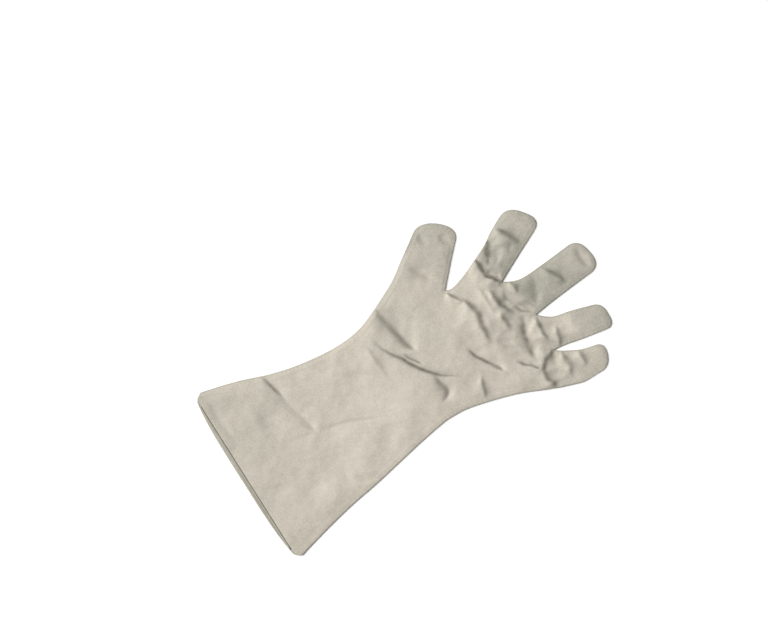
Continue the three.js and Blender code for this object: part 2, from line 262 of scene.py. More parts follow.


# Creases and folds of the back, each a line on the cloth. Most are drawn from the thumb's side across, so
# that their left is towards the fingertips. A fold comes up over the first share of its length and dies away
# over the last. It is a ridge where its height is above 0 and a crease where it is below. Its two widths are
# how far to the left and right of the line most of its height is gone. The line is sharp where sharp is 1,
# and round where it is 2. The shade is how much painted shade lies on the fold's dark flank, the side turned
# away from the key light.
FOLDS = [
    # line, first, last, height, wide left, wide right, sharp, shade
    ([(-131, 65), (-128.5, 56), (-126.5, 48), (-125, 40), (-123, 31)], 0.3, 0.4, -1.9, 7, 3.6, 1, 0.9),
    ([(-127, 46), (-124.5, 34), (-122, 22), (-119, 11), (-116.5, 0), (-113.5, -12)],
     0.3, 0.15, -1.4, 4, 9, 1, 0.14),
    ([(-154, 40), (-148, 22), (-138, 4)], 0.4, 0.4, -1.1, 11, 11, 2, 0.05),
    ([(-186, 74), (-187, 50), (-185, 22)], 0.4, 0.4, -0.8, 4, 5, 2, 0.05),
    ([(-50, -31), (-62, -28), (-73, -23), (-82, -18.5), (-92, -15.5), (-103, -13), (-114, -11)],
     0.4, 0.25, -0.6, 6, 3.5, 1, 0.14),
    ([(-114, -11), (-130, -7), (-150, -3)], 0.3, 0.4, -0.3, 3, 2.5, 1.5, 0.05),
    ([(-110, -24), (-75, -33), (-35, -44)], 0.4, 0.4, 1.0, 12, 14, 2, 0),
    ([(-90, 44), (-76, 39), (-62, 28)], 0.4, 0.4, -1.0, 7, 8, 2, 0.05),
    ([(-66, 24), (-52, 14), (-38, 6)], 0.4, 0.4, -0.8, 5, 6, 2, 0.04),
    ([(-32, 36), (-32, 20), (-31, 8), (-29, -6)], 0.4, 0.4, 1.3, 4, 9, 1.2, 0.1),
    ([(-108, -64), (-97, -73), (-86, -80)], 0.4, 0.4, -0.7, 5, 5, 2, 0.05),
    ([(-184, -29), (-172, -38), (-160, -48)], 0.4, 0.4, -0.7, 4, 3, 2, 0.05),
    ([(-5, 62), (-2.5, 50), (0, 39), (1.5, 30), (3, 21), (5, 13), (8, 4)],
     0.2, 0.15, -3.3, 14, 7.5, 1.05, 0.7),
    ([(-24, 42), (-21.5, 33), (-19.5, 26), (-16.5, 20), (-12, 13), (-7, 6.5), (-4, 0), (0.5, -7.5),
      (6, -15), (12, -22), (19, -28.5), (27, -34), (42, -45)], 0.36, 0.35, -3.0, 6, 3.8, 1, 1.1),
    ([(-6, 10), (-1.5, 3), (2.5, -3), (7, -11)], 0.3, 0.3, -1.8, 2.4, 2.4, 1, 0.9),
    ([(9, -22), (11, -30), (13.5, -38), (13, -44), (8, -48), (-1, -51)],
     0.25, 0.4, -2.7, 7, 6.5, 1.1, 0.65),
    ([(48, -46), (43.5, -54), (41, -61), (38.5, -69)], 0.35, 0.25, 2.1, 4, 11, 1.05, 0.7),
    ([(49, -16), (52.5, -26), (57, -34.5), (61.5, -42), (65.5, -48.5), (70, -58)],
     0.25, 0.15, -2.6, 5, 3.4, 1, 1.0),
    ([(60, 38), (62.5, 32), (66, 26), (70.5, 20)], 0.25, 0.2, 1.6, 3.2, 9, 1.05, 0.9),
    ([(69, 28), (71.5, 19), (73, 11), (73.5, 5), (72.5, -2), (71, -9), (70, -16), (69, -28)],
     0.2, 0.2, 3.2, 5.5, 17, 1.1, 0.75),
    ([(79, 2), (80, -8), (78, -20)], 0.4, 0.4, 0.9, 6, 2.5, 1.4, 0),
    ([(87, 28), (88.5, 16), (89, 6), (88.5, -6)], 0.4, 0.4, 1.3, 3.8, 8, 1.1, 0.4),
    ([(94, 22), (97, 12), (97.6, 4), (97.5, -2), (99, -7), (106, -15)],
     0.25, 0.25, 2.8, 4.6, 12, 1.1, 0.95),
    ([(96.5, -4), (93, -11), (93.5, -18), (92, -28)], 0.3, 0.3, 2.1, 3.8, 9, 1.1, 0.75),
    ([(108, 13), (104.5, 6), (106, -1), (108.5, -7)], 0.3, 0.3, 1.5, 3, 6, 1.2, 0.5),
    ([(106, -8), (115, -14.5), (125, -22)], 0.3, 0.2, -1.5, 2.2, 2.2, 1, 0.65),
    ([(111, -7), (120, -12.5), (130, -20)], 0.3, 0.3, -1.3, 2.2, 2, 1, 0.5),
    ([(116.5, 18), (119, 9), (120, -1)], 0.3, 0.4, 2.0, 3.8, 8, 1.1, 0.75),
    ([(140, 12), (137.5, 0), (133, -9), (128, -21)], 0.3, 0.3, -1.9, 7, 9, 1.1, 0.2),
    ([(111.5, -18), (108, -28), (105, -37), (103, -45), (101.5, -52), (98.5, -64)],
     0.25, 0.2, -3.0, 15, 6, 1.1, 0.9),
    ([(122, -26), (118.5, -34), (118, -41), (119.5, -47), (123, -54)], 0.2, 0.25, 2.6, 4.8, 13, 1.1, 0.95),
    ([(133, -43), (130.5, -51), (127.5, -58), (125.5, -65)], 0.3, 0.25, 1.9, 3.8, 8, 1.1, 0.75),
    ([(119, -62.8), (113, -64.5), (107, -66.5), (102, -69.5), (99.5, -74), (98.8, -80), (98.5, -87),
      (101, -97)], 0.08, 0.15, 2.9, 5.2, 12, 1.1, 1.05),
    ([(83, -53), (90, -61), (95.5, -66), (101, -70.5)], 0.3, 0.1, -1.7, 2.4, 2, 1, 0.95),
    ([(125, -66), (123, -77), (122, -86), (120, -97)], 0.25, 0.3, 1.9, 5.5, 11, 1.2, 0.5),
    ([(140, -74), (137.5, -83), (136.5, -94)], 0.25, 0.35, 1.8, 5, 10, 1.2, 0.55),
    ([(99.3, 52), (99.6, 45), (100, 39), (100.7, 34), (102.5, 28.5), (105, 24), (108, 20.5), (112.5, 18.3)],
     0.05, 0.06, 2.4, 3.6, 11, 1.05, 1.15),
    ([(101.5, 52), (102, 45), (102.5, 39), (103.2, 34), (105, 28.5), (107.5, 24), (110, 21), (113, 19)],
     0.05, 0.06, -1.8, 8, 2.6, 1, 1.15),
    ([(104.5, 36), (107.5, 29.5), (110, 25.5), (112.5, 22)], 0.25, 0.1, -1.6, 2, 2, 1, 0.8),
    ([(123, 60), (119.5, 52), (115.5, 45), (109, 36)], 0.1, 0.3, -2.4, 10, 9, 1.1, 1.1),
    ([(124, 52), (121, 43), (117, 33)], 0.3, 0.35, -0.9, 5, 4, 1.5, 0.1),
    ([(131, 67), (135.5, 58.5), (138.5, 52), (141, 47), (146.5, 39)], 0.25, 0.25, 2.7, 6, 13, 1.1, 0.85),
    ([(143, 51), (138, 43), (131, 36)], 0.4, 0.4, -0.7, 3, 3, 1.6, 0.1),
    ([(149, 10), (153.5, 2), (157.5, -5), (163.5, -16)], 0.3, 0.25, 2.3, 5, 12, 1.1, 0.75),
    ([(148, 12), (154, 8), (162, 4)], 0.4, 0.4, -0.7, 3, 3, 1.8, 0.1),
    ([(190, 11), (189, 1), (189.5, -8), (192, -18)], 0.3, 0.3, -1.5, 4, 6, 1.2, 0.4),
    ([(150, -40), (149, -55), (150, -70)], 0.3, 0.3, 0.9, 10, 8, 1.8, 0),
    ([(76, -26), (86, -38), (94, -49)], 0.4, 0.4, -1.3, 7, 7, 2, 0.1),
    ([(68.5, 101), (68, 93), (70.5, 84)], 0.35, 0.4, -1.3, 3.5, 5, 1.5, 0.25),
    ([(44, 83), (47, 72), (52, 62), (60, 50)], 0.35, 0.35, -1.5, 6, 7, 1.5, 0.22),
    ([(84, 90), (86, 80), (92, 72)], 0.4, 0.4, -1.0, 5, 6, 1.8, 0.15),
]
FOLD_STEPS = 8         # steps of a fold's curve for each of its points
FOLD_REACH = 3         # as many widths from its line a fold is cut off
WANDER = 0.75          # how far a fold's line strays
UNEVEN, PATCHY = 0.16, 0.28  # how much a fold's height and its painted shade vary along it, as shares of each
PATCHIEST = 1.6        # and the most that its painted shade is multiplied by
FAN = 1.2              # how much later a fold comes up, in mm for each mm from its line
SLIMMER = 0.4          # a fold's width at its very ends, as a share of that at its middle
FADE_EDGE = 2.6        # from the seam inwards, where folds reach their whole depth
LOWEST_INSIDE = 1.2    # no crease takes the back sheet lower than this
SOFT_STOP = 0.4        # and how gently it stops there
SHADE_MIDDLE, SHADE_SPREAD = 0.4, 0.5  # where on a fold's dark side, turned from the key light, its painted shade lies, in widths from its line
SHADE_NARROWEST, SHADE_WIDEST = 2.6, 6.5  # that width's limits

BACK_RISE = 0.45       # the quick rise next to the seam
BACK_ROLL = 1.2        # and how far in it takes
BACK_CROWN = 1.5       # the slower rise inside that
BACK_CROWN_REACH = 14
FLATTER_BEFORE_X, FLATTER_FADE = 10, 50  # from here to the cuff the little finger's side lies flatter
EDGE_FLATTER, EDGE_FLATTER_REACH = 0.4, 6  # by how much less the quick rise is there, and how far in
CROWN_FLATTER = 0.9    # and how much longer the slow one is
DOME = 4.2             # how much the slack cloth stands over the hollow of the hand
DOME_X, DOME_Y = 35, -14  # its middle
DOME_LENGTH, DOME_WIDTH = 72, 48  # how far from there it has sunk to about a third, along and across
DOME_EDGE = 34         # from the seam inwards, where the dome reaches its whole height
SLACK, DIMPLE = 0.22, 0.05  # height of the broad waves and of the small ones
CRUMPLE = 0.3          # small sharp ridges of no special place, most of them at the knuckles
KNUCKLES_X, KNUCKLES_REACH = 104, 32  # where along the glove that is, and how far about it
CALM = 0.15            # how crumpled the cloth is far from the knuckles, as a share of that there
PUCKER, PUCKER_PITCH = 0.12, 4.2  # the seam's puckers, and their distance along it
PUCKER_INSIDE, PUCKER_REACH = 1.8, 1.6  # how far inside the seam they are highest, and how far they spread
ALLOWANCE, ALLOWANCE_INSIDE = 0.16, 4.6  # the ridge over the edge of the seam allowance, and where it runs
SEAM_SHADE, SEAM_SHADE_REACH = 0.62, 0.9  # painted shade along the seam's groove on the side facing the key light, and how far in it goes
SEAM_SHADE_FROM, SEAM_SHADE_OVER = -0.4, 1.2  # the seam's facing where that shade starts, and over which it grows

EVEN_GREY = 0.24       # how far the whole cloth has greyed
HAND_GREY = 0.75       # and how much further the hand has, at the fingertips, partly tarnish and partly painted shade of the fingers
HAND_FROM_X, HAND_FADE = -60, 70  # where along the glove that starts, and over which length
PALM_MIDDLE = (25, -15)
GREY_FROM, GREY_OVER = 66, 62  # distance from the palm's middle where it starts, and over which it grows
LITTLE_GREY = 0.35     # its share on the little finger's outer side
LITTLE_SIDE_Y, LITTLE_FADE = -98, 42  # that side's edge, and how far in its share has grown to the whole
MOST_GREY = 1.55       # the mark's limit
# Spots of grey and of light, partly the cloth's own uneven tone, partly painted shade where greyer and
# painted light where lighter
STAINS_AND_PAINTED_LIGHT = np.array([
    # x, y, reach, how much greyer, or lighter where below 0
    (129, -4, 12, 0.8),
    (114, -8, 9, -0.5),
    (154, -1, 14, 0.38),
    (152, -17, 8, -0.35),
    (188, -4, 12, -0.5),
    (150, 56, 14, -0.2),
    (161, 48, 9, -0.3),
    (110, 40, 8, 0.5),
    (70, 15, 9, 0.35),
    (-55, -48, 42, -0.35),
    (-110, -76, 34, -0.25),
    (0, -60, 22, -0.25),
    (62, -64, 20, -0.2),
    (-178, 5, 30, 0.12),
    (125, 45, 14, 0.05),
    (141, -52, 15, -0.9),
    (124, -90, 20, -0.2),
    (-180, 62, 55, 0.24),
    (-192, 74, 16, 0.25),
    (-192, 20, 18, 0.14),
    (-190, -40, 18, 0.14),
    (4, 24, 26, 0.36),
    (24, 62, 26, 0.2),
    (8, -48, 16, 0.2),
    (32, 12, 30, 0.16),
    (57, -30, 26, -0.26),
    (-131, 38, 9, 0.35),
    (-3, 38, 9, 0.3),
    (37, -54, 7, 0.3),
    (76, 32, 16, 0.25),
    (86, -38, 14, 0.12),
    (100, -30, 9, -0.25),
    (89, 85, 11, -0.35),
    (154, -67, 10, -0.45),
    (120, 25, 9, 0.5),
    (103, 6, 8, 0.7),
    (100, -4, 6, 0.4),
])


def ripples(places, seed, waves, shortest, longest, size):
    """Gentle unevenness: the sum of many sine waves of random direction, phase and length, divided by the
    root of half their number, which makes its root mean square 1, and multiplied by size."""
    draw = np.random.default_rng(seed)
    angle, phase = draw.uniform(0, 2 * np.pi, (2, waves))
    length = draw.uniform(shortest, longest, waves)
    turn = 2 * np.pi * (places @ np.stack([np.cos(angle), np.sin(angle)]) / length) + phase
    return size * np.sin(turn).sum(axis=1) / math.sqrt(waves / 2)


def crumpled(places):
    """How crumpled the cloth is: 1 at the knuckles, and CALM far from them."""
    return CALM + (1 - CALM) * np.exp(-(((places[:, 0] - KNUCKLES_X) / KNUCKLES_REACH) ** 2))


def fold_relief(places):
    """The height that all the folds add, and the painted shade they carry, at each place. At distance d from
    a fold's line the share exp(-(d/width)^sharp) of its height is left. The painted shade lies on the flank
    turned away from the key light, a ridge's left or a crease's right, by exp(-((d/width - m)/s)^2), with
    SHADE_MIDDLE as m and SHADE_SPREAD as s. Ripples shift the places, so that no line is drawn quite true,
    and make each fold's height and shade uneven along it."""
    restless = crumpled(places)
    astray = np.column_stack([ripples(places, seed, 60, 9, 26, WANDER) * restless for seed in (21, 22)])
    uneven = 1 + ripples(places, 23, 60, 12, 34, UNEVEN) * restless
    patchy = np.clip(1 + ripples(places, 24, 80, 6, 20, PATCHY) * restless, 0, PATCHIEST)
    height = np.zeros(len(places))
    shade = np.zeros(len(places))
    for line, first, last, rise, wide_left, wide_right, sharp, soil in FOLDS:
        line = np.array(line, float)
        path = spline(line, np.linspace(0, 1, FOLD_STEPS * len(line)))
        reach = FOLD_REACH * max(wide_left, wide_right)
        low, high = path.min(axis=0) - reach, path.max(axis=0) + reach
        near = np.flatnonzero(((places > low) & (places < high)).all(axis=1))
        spot = places[near] + astray[near]
        length = np.append(0, np.cumsum(np.linalg.norm(np.diff(path, axis=0), axis=1)))
        best = np.full(len(spot), np.inf)
        side, along = np.ones(len(spot)), np.zeros(len(spot))
        for a, b, start in zip(path, path[1:], length):
            span = np.linalg.norm(b - a)
            way = (b - a) / span
            off = spot - a
            step = np.clip(off @ way, 0, span)
            d = np.linalg.norm(off - step[:, None] * way, axis=1)
            nearer = d < best
            best[nearer], along[nearer] = d[nearer], start + step[nearer]
            side[nearer] = np.sign(way[0] * off[nearer, 1] - way[1] * off[nearer, 0])
        ends = smooth(along / (first * length[-1] + FAN * best))
        ends *= smooth((length[-1] - along) / (last * length[-1] + FAN * best))
        width = np.where(side > 0, wide_left, wide_right) * (SLIMMER + (1 - SLIMMER) * ends)
        height[near] += rise * ends * np.exp(-((best / width) ** sharp))
        shaded = (wide_left if rise > 0 else wide_right) * (SLIMMER + (1 - SLIMMER) * ends)
        inwards = best * side * np.sign(rise) / np.clip(shaded, SHADE_NARROWEST, SHADE_WIDEST)
        # Painted shade on the fold's flank turned away from the key light.
        flank_shade = soil * ends * np.exp(-(((inwards - SHADE_MIDDLE) / SHADE_SPREAD) ** 2))
        shade[near] = np.maximum(shade[near], flank_shade)
    return height * uneven, np.clip(shade * patchy, 0, 1)


def back_height(places, path):
    """The back sheet's upper side, and its painted shade. It rises from the seam by the root of a swell, a
    quarter round, and by a slow swell, both less steep where the forearm lies flatter. On top of that come
    the slack cloth's dome, exp(-r^2) at r from its middle, then folds, waves, small sharp ridges where a
    ripple passes through nought, a sine's puckers along the seam, and the ridge over the seam allowance. At
    h above the lowest height allowed it is raised by (sqrt(h^2 + s^2) - h) / 2, so that it never goes below
    that height, with SOFT_STOP as s away from the seam and less near it. The painted shade is that of the
    folds, and a narrow band along the seam's groove where the seam faces the key light."""
    distance, along, facing = seam_distance(places, path)
    edge = SEAM_LIFT + 2 * CLOTH + LAYER_GAP
    flat = smooth(-2 * facing) * smooth((FLATTER_BEFORE_X - places[:, 0]) / FLATTER_FADE)
    rise = BACK_RISE * np.sqrt(swell(distance, BACK_ROLL))
    rise *= 1 - EDGE_FLATTER * flat * np.exp(-((distance / EDGE_FLATTER_REACH) ** 2))
    rise += BACK_CROWN * swell(distance, BACK_CROWN_REACH * (1 + CROWN_FLATTER * flat))
    out = ((places[:, 0] - DOME_X) / DOME_LENGTH) ** 2 + ((places[:, 1] - DOME_Y) / DOME_WIDTH) ** 2
    rise += DOME * np.exp(-out) * smooth(distance / DOME_EDGE)
    folds, soil = fold_relief(places)
    near = swell(distance, FADE_EDGE)
    waves = ripples(places, 5, 90, 25, 80, SLACK) + ripples(places, 6, 140, 9, 20, DIMPLE)
    waves -= CRUMPLE * crumpled(places) * np.abs(ripples(places, 25, 70, 13, 30, 1))
    pucker = PUCKER * np.sin(2 * np.pi * along / PUCKER_PITCH + 2 * ripples(places, 7, 20, 20, 60, 1))
    pucker *= np.exp(-(((distance - PUCKER_INSIDE) / PUCKER_REACH) ** 2))
    allowance = ALLOWANCE * np.exp(-((distance - ALLOWANCE_INSIDE) ** 2))
    height = edge + rise + near * (folds + waves) + pucker + allowance
    # Painted shade along the seam's groove, most where the seam faces the key light.
    edge_shade = SEAM_SHADE * np.exp(-((distance / SEAM_SHADE_REACH) ** 2))
    edge_shade *= smooth((facing - SEAM_SHADE_FROM) / SEAM_SHADE_OVER)
    above = height - edge - (LOWEST_INSIDE - edge) * near
    return height + (np.sqrt(above**2 + SOFT_STOP**2 * near) - above) / 2, np.maximum(soil, edge_shade)


def tarnish(places):
    """How far the cloth is greyed, partly for tarnish and partly as painted shade and light: more the
    further it lies from the middle of the palm, on the hand only, and less on the little finger. Each spot
    adds its own by exp(-(d/reach)^2) at distance d, painted shade where greyer and painted light where
    lighter."""
    from_middle = np.linalg.norm(places - PALM_MIDDLE, axis=1)
    grey = HAND_GREY * smooth((from_middle - GREY_FROM) / GREY_OVER)
    grey *= smooth((places[:, 0] - HAND_FROM_X) / HAND_FADE)
    grey *= LITTLE_GREY + (1 - LITTLE_GREY) * smooth((places[:, 1] - LITTLE_SIDE_Y) / LITTLE_FADE)
    grey += EVEN_GREY
    for x, y, reach, more in STAINS_AND_PAINTED_LIGHT:
        grey += more * np.exp(-((places[:, 0] - x) ** 2 + (places[:, 1] - y) ** 2) / reach**2)
    return np.clip(grey, 0, MOST_GREY)


def placed(name, data):
    """A new object of some data, linked to the scene."""
    made = bpy.data.objects.new(name, data)
    bpy.context.scene.collection.objects.link(made)
    return made


def sheet_object(name, places, heights, faces, thickness, marks=None):
    """A sheet's object: its points, turned to metres, its faces, its marks as point attributes, and a
    Solidify that gives it its thickness on the side away from its faces' front."""
    mesh = bpy.data.meshes.new(name)
    points = np.column_stack([places, heights]) * MM
    mesh.from_pydata(points, [], faces)
    mesh.update()
    mesh.shade_smooth()
    for mark, values in (marks or {}).items():
        layer = mesh.attributes.new(mark, "FLOAT", "POINT")
        layer.data.foreach_set("value", values.astype(np.float32))
    made = placed(name, mesh)
    wall = made.modifiers.new("thickness", "SOLIDIFY")
    wall.thickness = thickness * MM
    wall.offset = -1
    wall.use_even_offset = False
    return made


EDGE_RADIUS = 0.36     # outer radius where the cloth turns in at the mouth
MOUTH_SHADE = 0.9       # painted shade on the back's turned edge at the mouth, for the dark gap under it
EDGE_STEPS = 7         # rows of the turned edge, the first of which is the sheet's own
HEM_CORNER = 0.1       # share of the mouth's half width, at each corner, over which the turn dies away
LEAST_TURN = 0.06      # and the share of the turn that is left at the very corner


def turned_edge(mouth, heights, turn):
    """Rows that carry a sheet round its mouth edge and just inside: each row is the edge moved out by
    r sin(a) and along z by turn r (1 - cos(a)), where a grows to half a turn, or less near the corners."""
    v = np.abs(np.linspace(-1, 1, len(mouth)))
    whole = LEAST_TURN + (1 - LEAST_TURN) * smooth((1 - v) / HEM_CORNER)
    a = np.linspace(0, np.pi, EDGE_STEPS)[1:, None] * whole
    x = mouth[:, 0] - EDGE_RADIUS * np.sin(a)
    z = heights + turn * EDGE_RADIUS * (1 - np.cos(a))
    y = np.broadcast_to(mouth[:, 1], x.shape)
    return np.stack([x, y, z], axis=-1)


def with_turned_edge(places, heights, faces, marks, mouth, turn, edge_shade):
    """The sheet with the rows of its turned edge added to its points, faces and marks. The rows hold at
    least the painted shade given in the last argument."""
    keys = {tuple(key): i for i, key in enumerate(keyed(places))}
    edge = np.array([keys[tuple(key)] for key in keyed(mouth)])
    rows = turned_edge(places[edge], heights[edge], turn)
    count = len(places)
    number = np.vstack([edge, count + np.arange(rows.shape[0] * rows.shape[1]).reshape(rows.shape[:2])])
    corners = (number[1:, :-1], number[1:, 1:], number[:-1, 1:], number[:-1, :-1])
    added = np.stack([corner.ravel() for corner in corners], axis=1)
    flat = rows.reshape(-1, 3)
    marks = {mark: np.append(values, np.tile(values[edge], EDGE_STEPS - 1))
             for mark, values in marks.items()}
    # The turned edge's rows get at least the painted shade given for them.
    marks["soil"][count:] = np.maximum(marks["soil"][count:], edge_shade)
    return np.vstack([places, flat[:, :2]]), np.append(heights, flat[:, 2]), np.vstack([faces, added]), marks


def grouped(name, inputs, outputs):
    """A new shader group with the given sockets, and its input and output nodes."""
    group = bpy.data.node_groups.new(name, "ShaderNodeTree")
    for socket, kind, value in inputs:
        made = group.interface.new_socket(socket, in_out="INPUT", socket_type=kind)
        if value is not None:
            made.default_value = value
    for socket, kind in outputs:
        group.interface.new_socket(socket, in_out="OUTPUT", socket_type=kind)
    return group, group.nodes.new("NodeGroupInput"), group.nodes.new("NodeGroupOutput")


def maths(tree, operation, a, b=None, clamp=False):
    """A math node of one or two values, each a socket or a number, and its result."""
    node = tree.nodes.new("ShaderNodeMath")
    node.operation = operation
    node.use_clamp = clamp
    for socket, value in zip(node.inputs, (a, b)):
        if isinstance(value, bpy.types.NodeSocket):
            tree.links.new(value, socket)
        elif value is not None:
            socket.default_value = value
    return node.outputs[0]


def noise(tree, place, scale, detail, roughness=0.5):
    """A noise of so many cells a metre, and its result from 0 to 1."""
    node = tree.nodes.new("ShaderNodeTexNoise")
    node.inputs["Scale"].default_value = scale
    node.inputs["Detail"].default_value = detail
    node.inputs["Roughness"].default_value = roughness
    tree.links.new(place, node.inputs["Vector"])
    return node.outputs["Fac"]


def blended(tree, share, a, b, mode="MIX"):
    """A mix of two colours, each a socket or a colour, by share."""
    node = tree.nodes.new("ShaderNodeMix")
    node.data_type = "RGBA"
    node.blend_type = mode
    for socket, value in ((node.inputs[0], share), (node.inputs[6], a), (node.inputs[7], b)):
        if isinstance(value, bpy.types.NodeSocket):
            tree.links.new(value, socket)
        else:
            socket.default_value = value
    return node.outputs[2]


def spread(tree, value, low, high, to_low=0.0, to_high=1.0):
    """A value between low and high carried to between to_low and to_high, smoothly and no further."""
    node = tree.nodes.new("ShaderNodeMapRange")
    node.interpolation_type = "SMOOTHSTEP"
    for socket, number in zip(node.inputs[1:5], (low, high, to_low, to_high)):
        socket.default_value = number
    tree.links.new(value, node.inputs[0])
    return node.outputs[0]


YARNS_A_METRE = 2200.0
DRIFT_CELLS, MOTTLE_CELLS, SPECKLE_CELLS = 30, 210, 650  # of the noises, to a metre
DRIFT_SHARE = 0.13     # how far the drift goes to the grey tone at most
MOTTLE_GRAIN, SPECKLE_GRAIN = 0.02, 0.045  # how much each brightens and darkens the cloth
THINNEST_SHADE = 0.65    # the painted shade's share where the mottle thins it most
SMOOTHER, ROUGHER = 0.56, 0.7  # the cloth's roughness, from one end of the mottle to the other
SHADE_ROUGHNESS = 0.12  # and how much rougher the cloth is where painted shade lies
SLACK_YARN = 0.5       # the lowest yarns' height, as a share of the highest's
MOTTLE_RELIEF = 1.5    # how high the mottle stands, in heights of a yarn


def metallised_weave():
    """The cloth's look. The colour drifts between two tones over a few centimetres, is mottled over
    millimetres, and turns to the shade tone where painted shade lies. The height is sin x sin y, a plain
    weave, with uneven yarns."""
    group, given, result = grouped("metallised_weave", [
        ("Place", "NodeSocketVector", None),
        ("Light tone", "NodeSocketColor", None),
        ("Grey tone", "NodeSocketColor", None),
        ("Shade tone", "NodeSocketColor", None),
        ("Grey share", "NodeSocketFloat", None),
        ("Shade share", "NodeSocketFloat", None),
        ("Yarns a metre", "NodeSocketFloat", YARNS_A_METRE),
    ], [
        ("Colour", "NodeSocketColor"),
        ("Roughness", "NodeSocketFloat"),
        ("Height", "NodeSocketFloat"),
    ])
    place = given.outputs["Place"]
    soil = given.outputs["Shade share"]
    drift = noise(group, place, DRIFT_CELLS, 3, 0.55)
    mottle = noise(group, place, MOTTLE_CELLS, 4, 0.6)
    speckle = noise(group, place, SPECKLE_CELLS, 2, 0.7)
    drifted = spread(group, drift, 0.35, 0.7, 0, DRIFT_SHARE)
    grey = maths(group, "ADD", drifted, given.outputs["Grey share"], True)
    tone = blended(group, grey, given.outputs["Light tone"], given.outputs["Grey tone"])
    grain = maths(group, "ADD", spread(group, mottle, 0.25, 0.75, -MOTTLE_GRAIN, MOTTLE_GRAIN),
                  spread(group, speckle, 0.25, 0.75, -SPECKLE_GRAIN, SPECKLE_GRAIN))
    bright = group.nodes.new("ShaderNodeBrightContrast")
    group.links.new(tone, bright.inputs["Color"])
    group.links.new(grain, bright.inputs["Bright"])
    uneven = maths(group, "MULTIPLY", soil, spread(group, mottle, 0.2, 0.7, THINNEST_SHADE, 1.0))
    colour = blended(group, uneven, bright.outputs[0], given.outputs["Shade tone"])
    group.links.new(colour, result.inputs["Colour"])
    rough = maths(group, "ADD", spread(group, mottle, 0.3, 0.7, SMOOTHER, ROUGHER),
                  maths(group, "MULTIPLY", soil, SHADE_ROUGHNESS), True)
    group.links.new(rough, result.inputs["Roughness"])
    parts = group.nodes.new("ShaderNodeSeparateXYZ")
    group.links.new(place, parts.inputs[0])
    turns = maths(group, "MULTIPLY", given.outputs["Yarns a metre"], math.pi)
    waves = [maths(group, "SINE", maths(group, "MULTIPLY", parts.outputs[k], turns)) for k in (0, 1)]
    weave = maths(group, "MULTIPLY", waves[0], waves[1])
    yarns = maths(group, "MULTIPLY", weave, spread(group, speckle, 0.2, 0.8, SLACK_YARN, 1.0))
    bumps = maths(group, "MULTIPLY", mottle, MOTTLE_RELIEF)
    group.links.new(maths(group, "ADD", yarns, bumps), result.inputs["Height"])
    return group


WEAVE = metallised_weave()
WEAVE_RELIEF = 0.035   # height of the yarns
SHEEN, SHEEN_ROUGHNESS = 0.08, 0.5
METAL = 0.15           # how metallic it is
CLOTH_SPECULAR = 0.35


def plain_material(name):
    """A new material, its node tree and its main shader."""
    made = bpy.data.materials.new(name)
    made.use_nodes = True
    return made, made.node_tree, made.node_tree.nodes["Principled BSDF"]


def cloth_material(name, light, grey, soil, tarnish_and_shade_amount, shade_amount):
    """A material of the cloth: the weave's colour, roughness and relief. The grey tone comes in with the
    sheet's mark of tarnish and of painted shade and light, and the shade tone with its mark of painted
    shade, each multiplied by its amount."""
    made, tree, surface = plain_material(name)
    surface.inputs["Metallic"].default_value = METAL
    surface.inputs["Sheen Weight"].default_value = SHEEN
    surface.inputs["Sheen Roughness"].default_value = SHEEN_ROUGHNESS
    surface.inputs["Specular IOR Level"].default_value = CLOTH_SPECULAR
    weave = tree.nodes.new("ShaderNodeGroup")
    weave.node_tree = WEAVE
    weave.inputs["Light tone"].default_value = light
    weave.inputs["Grey tone"].default_value = grey
    weave.inputs["Shade tone"].default_value = soil
    places = tree.nodes.new("ShaderNodeTexCoord")
    tree.links.new(places.outputs["Object"], weave.inputs["Place"])
    shares = (("tarnish", tarnish_and_shade_amount, "Grey share"), ("soil", shade_amount, "Shade share"))
    for mark, amount, share in shares:
        marked = tree.nodes.new("ShaderNodeAttribute")
        marked.attribute_name = mark
        tree.links.new(maths(tree, "MULTIPLY", marked.outputs["Fac"], amount), weave.inputs[share])
    relief = tree.nodes.new("ShaderNodeBump")
    relief.inputs["Distance"].default_value = WEAVE_RELIEF * MM
    tree.links.new(weave.outputs["Height"], relief.inputs["Height"])
    tree.links.new(weave.outputs["Colour"], surface.inputs["Base Color"])
    tree.links.new(weave.outputs["Roughness"], surface.inputs["Roughness"])
    tree.links.new(relief.outputs["Normal"], surface.inputs["Normal"])
    return made


LIGHT_TONE = (0.572, 0.529, 0.452, 1)
GREY_TONE = (0.315, 0.309, 0.262, 1)
# the dark tone of the painted shade in the folds, along the seam and at the mouth
SHADE_TONE = (0.105, 0.094, 0.068, 1)
cloth = cloth_material("metallised_cloth", LIGHT_TONE, GREY_TONE, SHADE_TONE,
                       tarnish_and_shade_amount=0.64, shade_amount=0.8)

back_grids, seam_path = hand_grids(BACK_CELLS_PER_FINGER, BACK_CELL, 0)
back_places, back_faces = joined(back_grids)
back_top, back_shade = back_height(back_places, seam_path)
back_marks = {"soil": back_shade, "tarnish": tarnish(back_places)}
back_mouth = back_grids[0][0]
back_points = with_turned_edge(back_places, back_top, back_faces, back_marks, back_mouth, -1, MOUTH_SHADE)
back_sheet = sheet_object("back_sheet", *back_points[:3], CLOTH, back_points[3])
back_sheet.data.materials.append(cloth)
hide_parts("back_panel")
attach(back_sheet, "root")


